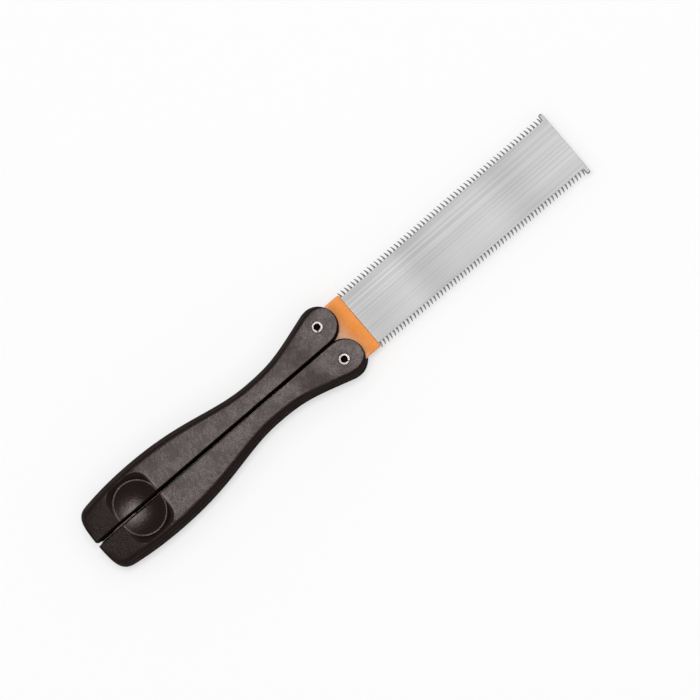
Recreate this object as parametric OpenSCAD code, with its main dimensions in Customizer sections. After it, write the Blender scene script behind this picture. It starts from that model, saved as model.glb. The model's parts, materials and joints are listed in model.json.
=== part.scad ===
// Folding flush cut saw, open as it is used.
// Two moulded handle halves turn on two rolled pins in an orange hub that holds a double edged blade.
// Each half swings outwards by half a turn, and the two then close over the blade's toothed edges.
// The saw lies flat: +X points to the blade's tip, +Z is up, and the underside is at Z = 0.
// Lengths are in millimetres.

/* [Pivots] */
// Distance between the two pivot pins, centre to centre
pivot_spacing = 17.3; // [15:0.1:22]
// Outside diameter of a rolled pivot pin
pin_d = 4.76; // [3:0.01:6]
// Wall of the rolled pin
pin_wall = 0.95; // [0.5:0.05:1.3]
// Width of the slit that runs along the pin
pin_slit = 0.9; // [0.4:0.1:1.4]
// Chamfer on the outer edge of both ends of the pin
pin_chamfer = 0.35; // [0.1:0.05:0.45]
// How far each end of the pin lies under the handle's face
pin_recess = 0.15; // [0:0.05:1]
// Running gap on the radius between a pin and the bore in a handle's ears
pin_play = 0.05; // [0.02:0.01:0.1]
// Gap on the radius between a pin and the bores in the hub and the tang
pin_seat_gap = 0.01; // [0.01:0.01:0.05]
// Direction of the slit in the pin of the handle half on the +Y side, degrees from +X
upper_slit_angle = -120; // [-180:5:180]
// Direction of the slit in the pin of the handle half on the -Y side, degrees from +X
lower_slit_angle = -60; // [-180:5:180]

/* [Handle halves] */
// Reach of the handle from the pivot pins to the butt
handle_reach = 127.4; // [100:0.2:160]
// Thickness of the handle
handle_t = 12.7; // [10:0.1:18]
// Half of the gap between the halves at mid height, with the saw open and with it closed
meet_gap = 0.15; // [0.05:0.05:0.5]
// Width of the slit between the halves at the handle's face, beside the pivot pins
slit_w_head = 1.2; // [0.8:0.1:2]
// Width of the slit between the halves at the handle's face, at the butt
slit_w_butt = 2; // [1.2:0.1:3]
// Distance of the waist behind the pivot pins
waist_at = 38; // [32:0.5:46]
// Width of the handle at the waist, across both halves
waist_w = 20; // [16:0.1:26]
// Distance of the belly, the widest place, ahead of the butt
belly_from_butt = 30.4; // [22.4:0.2:45]
// How much narrower the outline of each half would be at the butt than at the belly
butt_taper = 2.6; // [0:0.1:5]
// Length over which the outline rounds into the butt
butt_round = 8.5; // [6:0.5:15]
// Direction of the straight shoulder behind the head, degrees from the handle's length
shoulder_angle = 17; // [12:0.5:22]
// Radius of the long outer edges
edge_r = 3; // [1.5:0.1:4]
// Length of the slope on both faces at the butt
butt_slope_l = 12.6; // [6:0.2:16]
// How far the slope takes each face down at the butt
butt_slope_drop = 1.6; // [0.5:0.1:3]
// Radius of the edge round the butt
butt_edge_r = 0.8; // [0.3:0.1:1.4]
// Height of the flat land at mid height on the inner side, where the halves meet
land_h = 2.4; // [1.2:0.1:3.4]
// Length over which the land rounds off at the butt
land_round = 2.4; // [1:0.1:4]
// Thickness of the inner wall behind the hub
web_t_head = 2; // [1:0.1:3]
// Thickness of the inner wall at the butt
web_t_butt = 1; // [0.8:0.05:1.6]

/* [Thumb dish] */
// Distance of the dish's middle ahead of the butt
dish_from_butt = 23.5; // [21.4:0.1:31.4]
// Outside diameter of the dish's rim
dish_d = 20.6; // [16:0.1:21]
// Distance of the dish's centre from the saw's middle line
dish_offset = 1.3; // [1:0.1:2]
// Width of the rim
dish_rim_w = 0.6; // [0.3:0.1:1.5]
// Depth of the dish
dish_depth = 1.5; // [0.8:0.1:2.5]
// Depth of the sunk panel round the dish
panel_depth = 0.9; // [0.4:0.1:1.6]
// Width of the sunk panel on each half, from the saw's middle line
panel_w = 13.5; // [12.8:0.1:14]
// Corner radius of the sunk panel
panel_corner_r = 6; // [3:0.5:8]
// Clearance between the panel's ends and the rim
panel_gap = 0.2; // [0.1:0.1:1]

/* [Stop rib] */
// Length of the rib that the halves close on
rib_l = 12; // [6:0.5:16]
// Distance of the rib's middle ahead of the butt
rib_from_butt = 14.7; // [11.4:0.1:23.4]
// Depth of the rib's top under the handle's face
rib_drop = 2.6; // [2:0.1:4]
// Gap between the rib and the saw's middle line
rib_gap = 0.1; // [0.05:0.05:0.3]

/* [Blade] */
// Thickness of the blade
blade_t = 0.6; // [0.4:0.05:1]
// How much further the closed handle reaches than the blade's tip
tip_cover = 0.8; // [0.4:0.1:3]
// Clearance between the blade's end post and the handle's inner wall, saw closed
blade_side_gap = 0.35; // [0.2:0.05:1]
// Clearance above and below the blade in the handle's slot
blade_face_gap = 0.9; // [0.4:0.1:1.2]
// How far the end post stands past the points of the teeth
post_stand = 0.5; // [0.2:0.1:1]
// Width of the end post along the blade
post_w = 1.85; // [1:0.05:4]
// Corner radius of the end post
post_corner_r = 0.75; // [0.3:0.05:0.9]
// How much narrower each edge is at the hub than at the tip
blade_taper = 0.8; // [0:0.1:1.5]
// Distance from one tooth to the next
tooth_pitch = 1.814; // [1.2:0.001:3]
// Depth of the teeth
tooth_depth = 2.5; // [1.5:0.1:3]

/* [Hub] */
// Reach of the hub ahead of the pivot pins
hub_reach = 14.6; // [13:0.1:22]
// Thickness of the hub
hub_t = 3.8; // [2.8:0.1:5]
// Gap between the hub and each ear of the handle
hub_play = 0.1; // [0.05:0.05:0.2]
// Thickness of the hub's side walls outside the tang
hub_side_wall = 1.6; // [1.2:0.1:2.5]
// Corner radius at the front of the hub
hub_corner_r = 0.6; // [0.3:0.1:2]
// Clearance between the hub and the handle as it turns
hub_turn_gap = 0.45; // [0.2:0.05:1]
// Clearance between the back of the hub and the inner walls
hub_back_gap = 1; // [0.5:0.1:2]

/* [Hidden] */

// Pins' line: the saw's middle lies at X = 0, and the blade is shorter than the handle by the cover
blade_reach = handle_reach - tip_cover;
pin_x = (handle_reach - blade_reach) / 2;
pivot_y = pivot_spacing / 2;
half_t = handle_t / 2;
pin_l = handle_t - 2 * pin_recess;
pin_bore_d = pin_d - 2 * pin_wall;

// Closed, each half's outer side comes where its inner side was, mirrored about its own pin
head_r = pivot_y - meet_gap;
belly_w = pivot_spacing - meet_gap;
waist_half = waist_w / 2;
slot_h = blade_t + 2 * blade_face_gap;
fork_h = hub_t + 2 * hub_play;

// Places on the handle, behind the pins' line
belly_at = handle_reach - belly_from_butt;
dish_at = handle_reach - dish_from_butt;
rib_at = handle_reach - rib_from_butt;

// Blade edges, measured from the saw's middle line
post_half = pivot_spacing - meet_gap - web_t_butt - blade_side_gap;
point_half_tip = post_half - post_stand;
point_half_base = point_half_tip - blade_taper;
tang_half = point_half_base - tooth_depth;
hub_half = tang_half + hub_side_wall;
lobe_r = hub_half - pivot_y;
tang_back = lobe_r - hub_side_wall;
toothed_l = blade_reach - post_w - hub_reach;
web_start = lobe_r + hub_back_gap;

// A tooth's outline: shares of the pitch along the edge and of the depth outwards, leaning to the handle
tooth_shares = [[0.06, 0.04], [0.15, 0.42], [0, 1], [0.13, 0.97], [0.44, 0.45], [0.6, 0.06]];
tooth_w_share = 0.6;
tooth_count = floor((toothed_l / tooth_pitch) - tooth_w_share) + 1;

// Pulls of the outline's curves, as shares of each curve's length
neck_pull_shares = [0.535, 0.39];
flank_pull_shares = [0.305, 0.5];
// How square the outline turns into the butt: 2 is an ellipse
butt_power = 4;
butt_start_angle = 3;
// The outer edge's rounding fades to this share past this angle ahead of the pin
edge_fade_angle = 50;
edge_min_share = 0.12;
nose_angle = 84;
// Where a section is narrow, the rounding takes no more than this share of its width
edge_wall_share = 0.8;

// Steps along each stretch of a handle half, and round its edges
butt_steps = 12;
belly_steps = 5;
flank_steps = 16;
neck_steps = 10;
shoulder_steps = 3;
head_steps = 14;
edge_steps = 6;
corner_steps = 4;
tang_steps = 8;
$fn = 96;

// Longer than any cut needs
over = 1;
reach_over = handle_reach + over;

// The upper half's outline: its shoulder leaves the head's circle at this place
shoulder_s = head_r * sin(shoulder_angle);
shoulder_w = pivot_y + head_r * cos(shoulder_angle);
neck_run = waist_at - shoulder_s;
flank_run = belly_at - waist_at;

function bezier(a, b, c, d, t) =
    a * pow(1 - t, 3) + 3 * b * t * pow(1 - t, 2) + 3 * c * t * t * (1 - t) + d * pow(t, 3);

function belly_curve(s) = belly_w - butt_taper * pow((s - belly_at) / (handle_reach - belly_at), 2);

function butt_s(angle) = handle_reach - butt_round * (1 - pow(cos(angle), 2 / butt_power));

// Each station is [distance behind the pins, outer width, inner land, inner edge, share of the edge radius]
function land_at(s) =
    meet_gap + max(0, slit_at(handle_reach) - meet_gap) * max(0, 1 - (handle_reach - s) / land_round);
function slit_at(s) = (slit_w_head + (slit_w_butt - slit_w_head) * s / handle_reach) / 2;
function body_station(s, w) = [s, w, land_at(s), slit_at(s), 1];

butt_stations = [
    for (i = [0 : butt_steps - 1])
        let (angle = butt_start_angle + (90 - butt_start_angle) * i / butt_steps)
        body_station(butt_s(angle), belly_curve(butt_s(angle)) * pow(sin(angle), 2 / butt_power))
];
belly_stations = [
    for (i = [0 : belly_steps - 1])
        let (s = handle_reach - butt_round + (belly_at - handle_reach + butt_round) * i / belly_steps)
        body_station(s, belly_curve(s))
];
flank_stations = [
    for (i = [0 : flank_steps - 1])
        let (t = i / flank_steps)
        body_station(
            bezier(belly_at, belly_at - flank_pull_shares[1] * flank_run,
                waist_at + flank_pull_shares[0] * flank_run, waist_at, t),
            bezier(belly_w, belly_w, waist_half, waist_half, t))
];
neck_stations = [
    for (i = [0 : neck_steps - 1])
        let (t = i / neck_steps, pull = neck_pull_shares[0] * neck_run)
        body_station(
            bezier(waist_at, waist_at - neck_pull_shares[1] * neck_run,
                shoulder_s + pull * cos(shoulder_angle), shoulder_s, t),
            bezier(waist_half, waist_half, shoulder_w - pull * sin(shoulder_angle), shoulder_w, t))
];
shoulder_stations = [
    for (i = [0 : shoulder_steps - 1])
        let (angle = shoulder_angle * (1 - i / shoulder_steps))
        body_station(head_r * sin(angle), pivot_y + head_r * cos(angle))
];
head_stations = [
    for (i = [0 : head_steps])
        let (angle = nose_angle * i / head_steps)
        [
            -head_r * sin(angle),
            pivot_y + head_r * cos(angle),
            pivot_y - head_r * cos(angle),
            pivot_y - (pivot_y - slit_at(0)) * cos(angle),
            max(edge_min_share, 1 - angle / edge_fade_angle)
        ]
];
stations = concat(butt_stations, belly_stations, flank_stations, neck_stations, shoulder_stations, head_stations);

// Both faces slope down behind the dish and round off into the butt
slope_from = handle_reach - butt_slope_l;
function face_z(s) =
    let (inside = max(0, butt_edge_r - (handle_reach - s)))
    half_t - butt_slope_drop * max(0, s - slope_from) / butt_slope_l
        - butt_edge_r + sqrt(butt_edge_r * butt_edge_r - inside * inside);

// One section across the upper half, from its inner lower edge round over the top
function section(st) =
    let (z = face_z(st[0]), r = min(edge_r * st[4], edge_wall_share * (st[1] - st[3])))
    concat(
        [
            [-st[0], st[3], -z],
            [-st[0], st[2], -land_h / 2],
            [-st[0], st[2], land_h / 2],
            [-st[0], st[3], z]
        ],
        [for (i = [0 : edge_steps])
            let (angle = 90 * i / edge_steps)
            [-st[0], st[1] - r + r * sin(angle), z - r + r * cos(angle)]],
        [for (i = [0 : edge_steps])
            let (angle = 90 * i / edge_steps)
            [-st[0], st[1] - r + r * cos(angle), -z + r - r * sin(angle)]]
    );

// Joins the sections into one closed skin
module skin(sections) {
    count = len(sections);
    round = len(sections[0]);
    points = [for (sec = sections) for (p = sec) p];
    sides = [
        for (i = [0 : count - 2]) for (j = [0 : round - 1])
            let (a = i * round + j, b = i * round + (j + 1) % round)
            each [[a, b, b + round], [a, b + round, a + round]]
    ];
    butt_end = [for (j = [round - 1 : -1 : 0]) j];
    nose_end = [for (j = [0 : round - 1]) (count - 1) * round + j];
    polyhedron(points = points, faces = concat(sides, [butt_end, nose_end]), convexity = 6);
}

// Room for the blade: from the outer side in to the inner wall, which thins towards the butt
module blade_slot(height, inner_head, inner_butt, from) {
    linear_extrude(height = height, center = true)
        polygon([
            [-from, inner_head],
            [-from, belly_w + over],
            [-reach_over, belly_w + over],
            [-reach_over, inner_butt]
        ]);
}

// Room for the hub: an arc about the pin, kept clear of the inner wall behind the hub
module fork_gap() {
    turn_r = norm([hub_reach, hub_half - pivot_y]) + hub_turn_gap;
    linear_extrude(height = fork_h, center = true) {
        intersection() {
            translate([0, pivot_y])
                circle(r = turn_r);
            translate([-turn_r - over, meet_gap + web_t_head])
                square([2 * (turn_r + over), turn_r + pivot_y]);
        }
        translate([-web_start, -over])
            square([web_start + turn_r, turn_r + pivot_y]);
    }
}

// One face's thumb dish and the sunk panel round it, cut into a face at the given height
module dish_cut() {
    panel_l = dish_d + 2 * panel_gap;
    bowl_r = dish_d / 2 - dish_rim_w;
    ball_r = (bowl_r * bowl_r + dish_depth * dish_depth) / (2 * dish_depth);
    translate([-dish_at, dish_offset, half_t]) {
        difference() {
            translate([-panel_l / 2, -dish_offset - over, -panel_depth])
                linear_extrude(height = panel_depth + over) {
                    square([panel_l, panel_w - panel_corner_r + over]);
                    translate([panel_corner_r, 0])
                        square([panel_l - 2 * panel_corner_r, panel_w + over]);
                    for (x = [panel_corner_r, panel_l - panel_corner_r])
                        translate([x, panel_w - panel_corner_r + over])
                            circle(r = panel_corner_r);
                }
            translate([0, 0, -panel_depth - over])
                cylinder(d = dish_d, h = panel_depth + 3 * over);
        }
        translate([0, 0, ball_r - dish_depth])
            rotate([90, 0, 0])
                sphere(r = ball_r);
    }
}

// A short rib on the inner side that the halves close on
module stop_rib() {
    rib_top = half_t - rib_drop;
    translate([-rib_at - rib_l / 2, rib_gap, 0])
        cube([rib_l, slit_w_butt / 2, rib_top]);
}

// The half on the +Y side, about the pins' line at mid height
module half_shape() {
    difference() {
        union() {
            skin([for (st = stations) section(st)]);
            mirror([0, 0, 1])
                stop_rib();
        }
        blade_slot(slot_h, meet_gap + web_t_head, meet_gap + web_t_butt, web_start);
        fork_gap();
        translate([0, pivot_y, -half_t - over])
            cylinder(d = pin_d + 2 * pin_play, h = handle_t + 2 * over);
        dish_cut();
        mirror([0, 0, 1])
            dish_cut();
    }
}

module upper_handle_half() {
    color("#3a3432")
        translate([pin_x, 0, half_t])
            half_shape();
}

// The same moulding turned over
module lower_handle_half() {
    color("#3a3432")
        translate([pin_x, 0, half_t])
            rotate([180, 0, 0])
                half_shape();
}

function point_half(x) = point_half_base + blade_taper * (x - hub_reach) / (toothed_l + post_w);

// Teeth along the +Y edge, from the hub to the end post
function tooth_points(side) = [
    for (i = [0 : tooth_count - 1]) for (share = tooth_shares)
        let (x = hub_reach + (i + share[0]) * tooth_pitch)
        [x, side * (point_half(x) - tooth_depth * (1 - share[1]))]
];

// The end post's outer corners on the +Y side, from its inner side to its outer side
function post_points(side) = concat(
    [[blade_reach - post_w, side * (point_half(blade_reach - post_w) - tooth_depth)]],
    [for (i = [0 : corner_steps])
        let (angle = 180 - 90 * i / corner_steps)
        [
            blade_reach - post_w + post_corner_r * (1 + cos(angle)),
            side * (post_half - post_corner_r * (1 - sin(angle)))
        ]],
    [for (i = [0 : corner_steps])
        let (angle = 90 - 90 * i / corner_steps)
        [
            blade_reach - post_corner_r * (1 - cos(angle)),
            side * (post_half - post_corner_r * (1 - sin(angle)))
        ]]
);

function reversed(list) = [for (i = [len(list) - 1 : -1 : 0]) list[i]];

// The back of the tang, rounded about the pins, from the -Y side to the +Y side
tang_points = [
    for (side = [-1, 1]) for (i = [0 : tang_steps])
        let (angle = side < 0 ? 90 * i / tang_steps : 90 - 90 * i / tang_steps)
        [-tang_back * sin(angle), side * (pivot_y + tang_back * cos(angle))]
];

// Spring steel, toothed on both edges, with a tang that the pivot pins pass through
module blade() {
    color("#c8c8ca")
        translate([pin_x, 0, half_t])
            difference() {
                linear_extrude(height = blade_t, center = true)
                    polygon(concat(
                        tang_points,
                        [[hub_reach, tang_half]],
                        tooth_points(1),
                        post_points(1),
                        reversed(post_points(-1)),
                        reversed(tooth_points(-1)),
                        [[hub_reach, -tang_half]]
                    ));
                for (side = [-1, 1])
                    translate([0, side * pivot_y, -blade_t])
                        cylinder(d = pin_d + 2 * pin_seat_gap, h = 2 * blade_t);
            }
}

// Orange moulding round the blade's tang: two lobes about the pins and a square front
module blade_hub() {
    color("#f08a3c")
        translate([pin_x, 0, half_t])
            difference() {
                linear_extrude(height = hub_t, center = true)
                    hub_outline();
                linear_extrude(height = blade_t, center = true)
                    polygon(concat(
                        tang_points,
                        [[hub_reach + over, tang_half], [hub_reach + over, -tang_half]]
                    ));
                for (side = [-1, 1])
                    translate([0, side * pivot_y, -hub_t])
                        cylinder(d = pin_d + 2 * pin_seat_gap, h = 2 * hub_t);
            }
}

module hub_outline() {
    front = hub_reach - hub_corner_r;
    translate([0, -hub_half])
        square([front, 2 * hub_half]);
    translate([0, hub_corner_r - hub_half])
        square([hub_reach, 2 * (hub_half - hub_corner_r)]);
    translate([-lobe_r, -pivot_y])
        square([lobe_r + over, pivot_spacing]);
    for (side = [-1, 1]) {
        translate([front, side * (hub_half - hub_corner_r)])
            circle(r = hub_corner_r);
        translate([0, side * pivot_y])
            circle(r = lobe_r);
    }
}

// A rolled spring pin: a chamfered tube with a slit along it
module rolled_pin(slit_angle) {
    difference() {
        translate([0, 0, -pin_l / 2])
            rotate_extrude()
                polygon([
                    [pin_bore_d / 2, 0],
                    [pin_d / 2 - pin_chamfer, 0],
                    [pin_d / 2, pin_chamfer],
                    [pin_d / 2, pin_l - pin_chamfer],
                    [pin_d / 2 - pin_chamfer, pin_l],
                    [pin_bore_d / 2, pin_l]
                ]);
        rotate([0, 0, slit_angle])
            translate([0, -pin_slit / 2, -pin_l])
                cube([pin_d, pin_slit, 2 * pin_l]);
    }
}

module upper_pivot_pin() {
    color("#d8cfc8")
        translate([pin_x, pivot_y, half_t])
            rolled_pin(upper_slit_angle);
}

module lower_pivot_pin() {
    color("#d8cfc8")
        translate([pin_x, -pivot_y, half_t])
            rolled_pin(lower_slit_angle);
}

blade();
blade_hub();
upper_handle_half();
lower_handle_half();
upper_pivot_pin();
lower_pivot_pin();
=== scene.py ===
import json
from functools import partial
from math import atan2, cos, degrees, hypot, pi, radians, sin, sqrt, tan

import bmesh
import bpy
from mathutils import Matrix, Vector


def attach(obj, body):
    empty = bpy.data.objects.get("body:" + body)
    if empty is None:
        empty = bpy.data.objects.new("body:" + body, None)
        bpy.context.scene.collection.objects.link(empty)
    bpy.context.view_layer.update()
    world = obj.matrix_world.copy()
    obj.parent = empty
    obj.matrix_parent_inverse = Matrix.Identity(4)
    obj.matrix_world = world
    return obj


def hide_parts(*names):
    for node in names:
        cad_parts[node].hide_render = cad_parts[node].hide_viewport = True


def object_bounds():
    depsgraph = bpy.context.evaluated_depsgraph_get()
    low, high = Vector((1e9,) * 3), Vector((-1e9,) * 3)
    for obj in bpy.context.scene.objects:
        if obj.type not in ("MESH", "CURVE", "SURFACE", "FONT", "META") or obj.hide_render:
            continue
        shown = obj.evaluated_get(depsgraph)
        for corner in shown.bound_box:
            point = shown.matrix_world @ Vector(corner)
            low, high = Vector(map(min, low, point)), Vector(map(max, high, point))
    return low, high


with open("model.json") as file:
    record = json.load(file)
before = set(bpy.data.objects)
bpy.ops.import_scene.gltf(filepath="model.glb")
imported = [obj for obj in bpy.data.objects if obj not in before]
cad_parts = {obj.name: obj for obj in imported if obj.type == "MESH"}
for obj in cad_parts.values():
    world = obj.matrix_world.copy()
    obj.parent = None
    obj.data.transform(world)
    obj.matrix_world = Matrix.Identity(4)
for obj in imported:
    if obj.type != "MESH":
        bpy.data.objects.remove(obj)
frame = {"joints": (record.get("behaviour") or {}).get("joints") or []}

cad_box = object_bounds()
scene = bpy.context.scene
scene.view_settings.view_transform = "Standard"

# The camera looks down on the bench from far off, tilted a little towards the -Y side and the tip,
# so that the near sides show. The saw's length runs up to the right across the square picture.
# From here on a piece is drawn in millimetres, about the middle of the line between the two pivot pins.
mm = 0.001
pins = {joint["child"]: Vector(joint["pos_m"]) for joint in frame["joints"]}
pin_line = (pins["upper_half"] + pins["lower_half"]) / 2
pivot_y = (pins["upper_half"] - pins["lower_half"]).y / 2 / mm

camera_tilt_x, camera_tilt_y = radians(4.3), radians(6.25)
saw_angle = radians(40.76)
view_width = 286.9 * mm
camera_distance = 3.2
camera_sight = 20
sensor_width = 36
picture_size = 700
pins_at_pixel = (330.6, 343.1)
pins_top = 6.2


def to_frame(x, y, z):
    return Vector((x * mm, y * mm, z * mm)) + pin_line


def new_object(name, data):
    made = bpy.data.objects.new(name, data)
    scene.collection.objects.link(made)
    return made


def x_square_to(towards):
    """The frame's X axis, leant over until it is square to a direction."""
    return (Vector((1, 0, 0)) - towards.x * towards).normalized()


def placing(place, right, up, back):
    return Matrix.Translation(place) @ Matrix((right, up, back)).transposed().to_4x4()


towards_camera = Vector((tan(camera_tilt_x), -tan(camera_tilt_y), 1)).normalized()
along_saw = x_square_to(towards_camera)
across_saw = towards_camera.cross(along_saw)
picture_right = cos(saw_angle) * along_saw - sin(saw_angle) * across_saw
picture_up = sin(saw_angle) * along_saw + cos(saw_angle) * across_saw
pixel = view_width / picture_size
aim = (
    to_frame(0, 0, pins_top)
    + (picture_size / 2 - pins_at_pixel[0]) * pixel * picture_right
    - (picture_size / 2 - pins_at_pixel[1]) * pixel * picture_up
)
camera = new_object("camera", bpy.data.cameras.new("camera"))
camera.data.sensor_width = sensor_width
camera.data.lens = sensor_width * camera_distance / view_width
camera.data.clip_end = camera_sight
camera_place = aim + camera_distance * towards_camera
camera.matrix_world = placing(camera_place, picture_right, picture_up, towards_camera)
scene.camera = camera

# The bench top: a pale matt board just under the saw, which keeps a faint shadow of it.
# The camera and shiny surfaces see it nearly white.
bench_size = 30
bench_gap = 0.06
bench_colour = (0.95, 0.95, 0.95, 1)
bench_roughness = 0.9
bench_glow_share = 0.5
white = (1, 1, 1, 1)


def add_node(tree, kind, values=None, **settings):
    """Adds a node. A value is a number, a colour or another node's output, which is linked."""
    node = tree.nodes.new(kind)
    for name, value in settings.items():
        setattr(node, name, value)
    for socket, value in (values or {}).items():
        if isinstance(value, bpy.types.NodeSocket):
            tree.links.new(value, node.inputs[socket])
        else:
            node.inputs[socket].default_value = value
    return node


def calc(tree, operation, *values, clamp=False):
    node = add_node(tree, "ShaderNodeMath", dict(enumerate(values)), operation=operation, use_clamp=clamp)
    return node.outputs[0]


def material(name, **sockets):
    made = bpy.data.materials.new(name)
    made.use_nodes = True
    shader = made.node_tree.nodes["Principled BSDF"]
    for socket, value in sockets.items():
        shader.inputs[socket.replace("_", " ")].default_value = value
    return made, made.node_tree, shader


def feed(tree, node, **outputs):
    """Links outputs of other nodes to a node's inputs."""
    for socket, output in outputs.items():
        tree.links.new(output, node.inputs[socket.replace("_", " ")])


corner = bench_size / 2
bench_z = cad_box[0][2] - bench_gap * mm
bench_corners = [(x * corner, y * corner, bench_z) for x, y in ((-1, -1), (1, -1), (1, 1), (-1, 1))]
bench_mesh = bpy.data.meshes.new("bench")
bench_mesh.from_pydata(bench_corners, [], [(0, 1, 2, 3)])
bench = new_object("bench", bench_mesh)
bench_finish, tree, shader = material("bench_white", Base_Color=bench_colour, Roughness=bench_roughness)
bench_mesh.materials.append(bench_finish)
path = add_node(tree, "ShaderNodeLightPath").outputs
looks = calc(tree, "MAXIMUM", path["Is Camera Ray"], path["Is Glossy Ray"])
looks = calc(tree, "MAXIMUM", looks, path["Is Transmission Ray"])
share = calc(tree, "MULTIPLY", looks, bench_glow_share)
glow = add_node(tree, "ShaderNodeEmission", {"Color": white, "Strength": 1.0}).outputs[0]
both = add_node(tree, "ShaderNodeMixShader", {0: share, 1: shader.outputs[0], 2: glow}).outputs[0]
feed(tree, tree.nodes["Material Output"], Surface=both)

# The room: dim overhead, so that rounded edges turn dark, with lit walls round the horizon,
# so that metal seen from the side doesn't turn black.
ceiling_strength, wall_strength = 0.05, 0.55
wall_from, wall_to = sin(radians(15)), sin(radians(38))


def coordinates(tree, kind="Object"):
    return add_node(tree, "ShaderNodeTexCoord").outputs[kind]


def axes_of(tree, vector):
    return add_node(tree, "ShaderNodeSeparateXYZ", {0: vector}).outputs


def spread(tree, value, low, high, to_low, to_high):
    """Stretches a value's range low..high to another, with smooth ends."""
    values = {"Value": value, "From Min": low, "From Max": high, "To Min": to_low, "To Max": to_high}
    return add_node(tree, "ShaderNodeMapRange", values, interpolation_type="SMOOTHSTEP").outputs["Result"]


world = bpy.data.worlds.new("air")
world.use_nodes = True
tree = world.node_tree
height = axes_of(tree, coordinates(tree, "Generated"))["Z"]
feed(tree, tree.nodes["Background"], Strength=spread(
    tree, height, wall_from, wall_to, wall_strength, ceiling_strength
))
tree.nodes["Background"].inputs["Color"].default_value = white
scene.world = world

# The lamps: one large soft oval panel, overhead and a little towards the blade's tip and the +Y side,
# and a wide soft sky that fills the shade and isn't mirrored.
panel_lean_x, panel_lean_y = radians(4.5), radians(5.5)
panel_half_x, panel_half_y = radians(16.5), radians(8.5)
panel_distance = 3
panel_radiance = 10
sky_strength = 1.45
sky_angle = radians(110)

panel = new_object("light_panel", bpy.data.lights.new("light_panel", "AREA"))
panel.data.shape = "ELLIPSE"
panel.data.size = 2 * panel_distance * tan(panel_half_x)
panel.data.size_y = 2 * panel_distance * tan(panel_half_y)
panel.data.energy = panel_radiance * pi * pi * panel.data.size * panel.data.size_y / 4
towards_panel = Vector((tan(panel_lean_x), tan(panel_lean_y), 1)).normalized()
panel_x = x_square_to(towards_panel)
panel_place = pin_line + panel_distance * towards_panel
panel.matrix_world = placing(panel_place, panel_x, towards_panel.cross(panel_x), towards_panel)

sky = new_object("soft_sky", bpy.data.lights.new("soft_sky", "SUN"))
sky.data.energy = sky_strength
sky.data.angle = sky_angle
sky.visible_glossy = False

# The blade: spring steel sheet, brushed lengthwise, with hardened teeth filed on both long edges.
# Its tang is moulded into the hub, and a squared post at the tip ends each row of teeth.
blade_reach = 126.6
blade_t = 0.6
hub_reach = 14.6
point_half_base = 14.5
blade_taper = 0.8
tooth_pitch = 1.814
tooth_depth = 2.5
tooth_count = 61
post_w = 1.85
post_half = 15.8
post_corner_r = 0.75
post_bevel, post_bevel_t = 0.35, 0.1
tip_bevel_share = 1 / 3
tang_back = 3.35
corner_steps = 8
blade_crease = 12
weld = 1e-5
pin_d, pin_seat_gap = 4.76, 0.01
pin_seat_r = pin_d / 2 + pin_seat_gap
# A tooth from its root by the handle, over its point, to the next root. Each point has its share of the
# pitch and of the depth, and how far along and out the filed facet takes it on one face.
tooth_shares = [
    (0.05, 0.03, 0, 0), (0.13, 0.16, 0.05, 0), (0.15, 0.38, 0.08, 0), (0.11, 0.68, 0.08, 0),
    (0, 1, 0.07, -0.05), (0.20, 0.97, -0.01, -0.06),
    (0.38, 0.74, -0.08, 0), (0.51, 0.47, -0.07, 0), (0.60, 0.22, -0.04, 0), (0.66, 0.06, 0, 0),
]
gullet_shares = [(0.74, 0.0), (0.86, -0.03), (0.97, 0.0)]
# The foot of the end post. Each point has its distance before the post's inner side, its height over
# the root, and its share of the bevel.
post_foot = [(0.09, 0, 0), (0.03, 0.12, 1 / 3), (0, 0.4, 1)]


def smooth_shaded(mesh, crease):
    """Smooth shading, with edges sharper than an angle in degrees left crisp."""
    mesh.shade_smooth()
    mesh.set_sharp_from_angle(angle=radians(crease))


def finish_mesh(bm, name, crease=30):
    """Turns a bmesh drawn in millimetres about the pins into a smooth mesh with crisp edges."""
    bmesh.ops.remove_doubles(bm, verts=bm.verts, dist=weld)
    bmesh.ops.recalc_face_normals(bm, faces=bm.faces)
    for vert in bm.verts:
        vert.co = to_frame(*vert.co)
    mesh = bpy.data.meshes.new(name)
    bm.to_mesh(mesh)
    bm.free()
    smooth_shaded(mesh, crease)
    return mesh


def join_rings(bm, rings, closed=True):
    """Lays faces from each ring of points to the next, and over the first and the last."""
    for one, two in zip(rings, rings[1:]):
        for i in range(len(one)):
            j = (i + 1) % len(one)
            bm.faces.new((one[i], one[j], two[j], two[i]))
    if closed:
        bm.faces.new(rings[0])
        bm.faces.new(rings[-1])


def lofted(name, rings):
    """A solid laid over rings of points that all have the same count."""
    bm = bmesh.new()
    join_rings(bm, [[bm.verts.new(point) for point in ring] for ring in rings])
    return new_object(name, finish_mesh(bm, name))


def arc(x, y, r, start, end, steps, r_up=None):
    """Points along a bend between two angles in degrees. An oval bend has another radius in Y."""
    turns = [radians(start + (end - start) * i / steps) for i in range(steps + 1)]
    return [(x + r * cos(a), y + (r_up or r) * sin(a)) for a in turns]


def both_sides(half):
    """An outline made of its +Y half and the same mirrored."""
    return half + [(x, -y) for x, y in reversed(half)]


def point_half(x):
    """Half the width over the teeth's points, which grows a little towards the tip."""
    return point_half_base + blade_taper * (x - hub_reach) / (blade_reach - hub_reach)


def edge_outline(face):
    """The +Y edge from the hub to the end post, as it lies on one face of the sheet."""
    points = []
    for i in range(tooth_count):
        filed = (i + (face > 0)) % 2
        shares = [(along + back * filed, out + down * filed) for along, out, back, down in tooth_shares]
        if i < tooth_count - 1:
            shares += gullet_shares
        for along, out in shares:
            x = hub_reach + (i + along) * tooth_pitch
            points.append((x, point_half(x) - tooth_depth * (1 - out)))
    return points


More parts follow.
